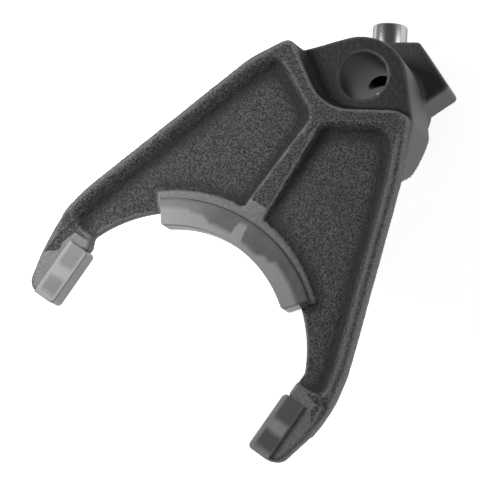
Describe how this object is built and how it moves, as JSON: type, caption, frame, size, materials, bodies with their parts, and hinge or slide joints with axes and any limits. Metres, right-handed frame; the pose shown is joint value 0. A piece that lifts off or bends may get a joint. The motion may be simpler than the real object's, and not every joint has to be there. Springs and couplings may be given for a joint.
{
  "type": "transfer case range fork",
  "caption": "Cast range shift fork with a tall bored hub, an open jaw lined with moulded wear pads and a round cam pin standing out of a lug behind the hub",
  "frame": {"origin": "On the rail bore's axis, in the plane of the hub's milled front face.", "axes": "+Z along the rail bore, out of the front face that carries the pockets; +Y from the jaw towards the hub; +X to the right seen from the front."},
  "size_m": [0.1131, 0.1456, 0.0548],
  "materials": {
    "casting": "rough as-cast skin",
    "pad": "slightly clear moulded nylon",
    "pin": "ground bright"
  },
  "bodies": {
    "root": {"fork_casting": "casting", "centre_pad": "pad", "left_tip_pad": "pad", "right_tip_pad": "pad", "cam_pin": "pin"}
  },
  "joints": []
}
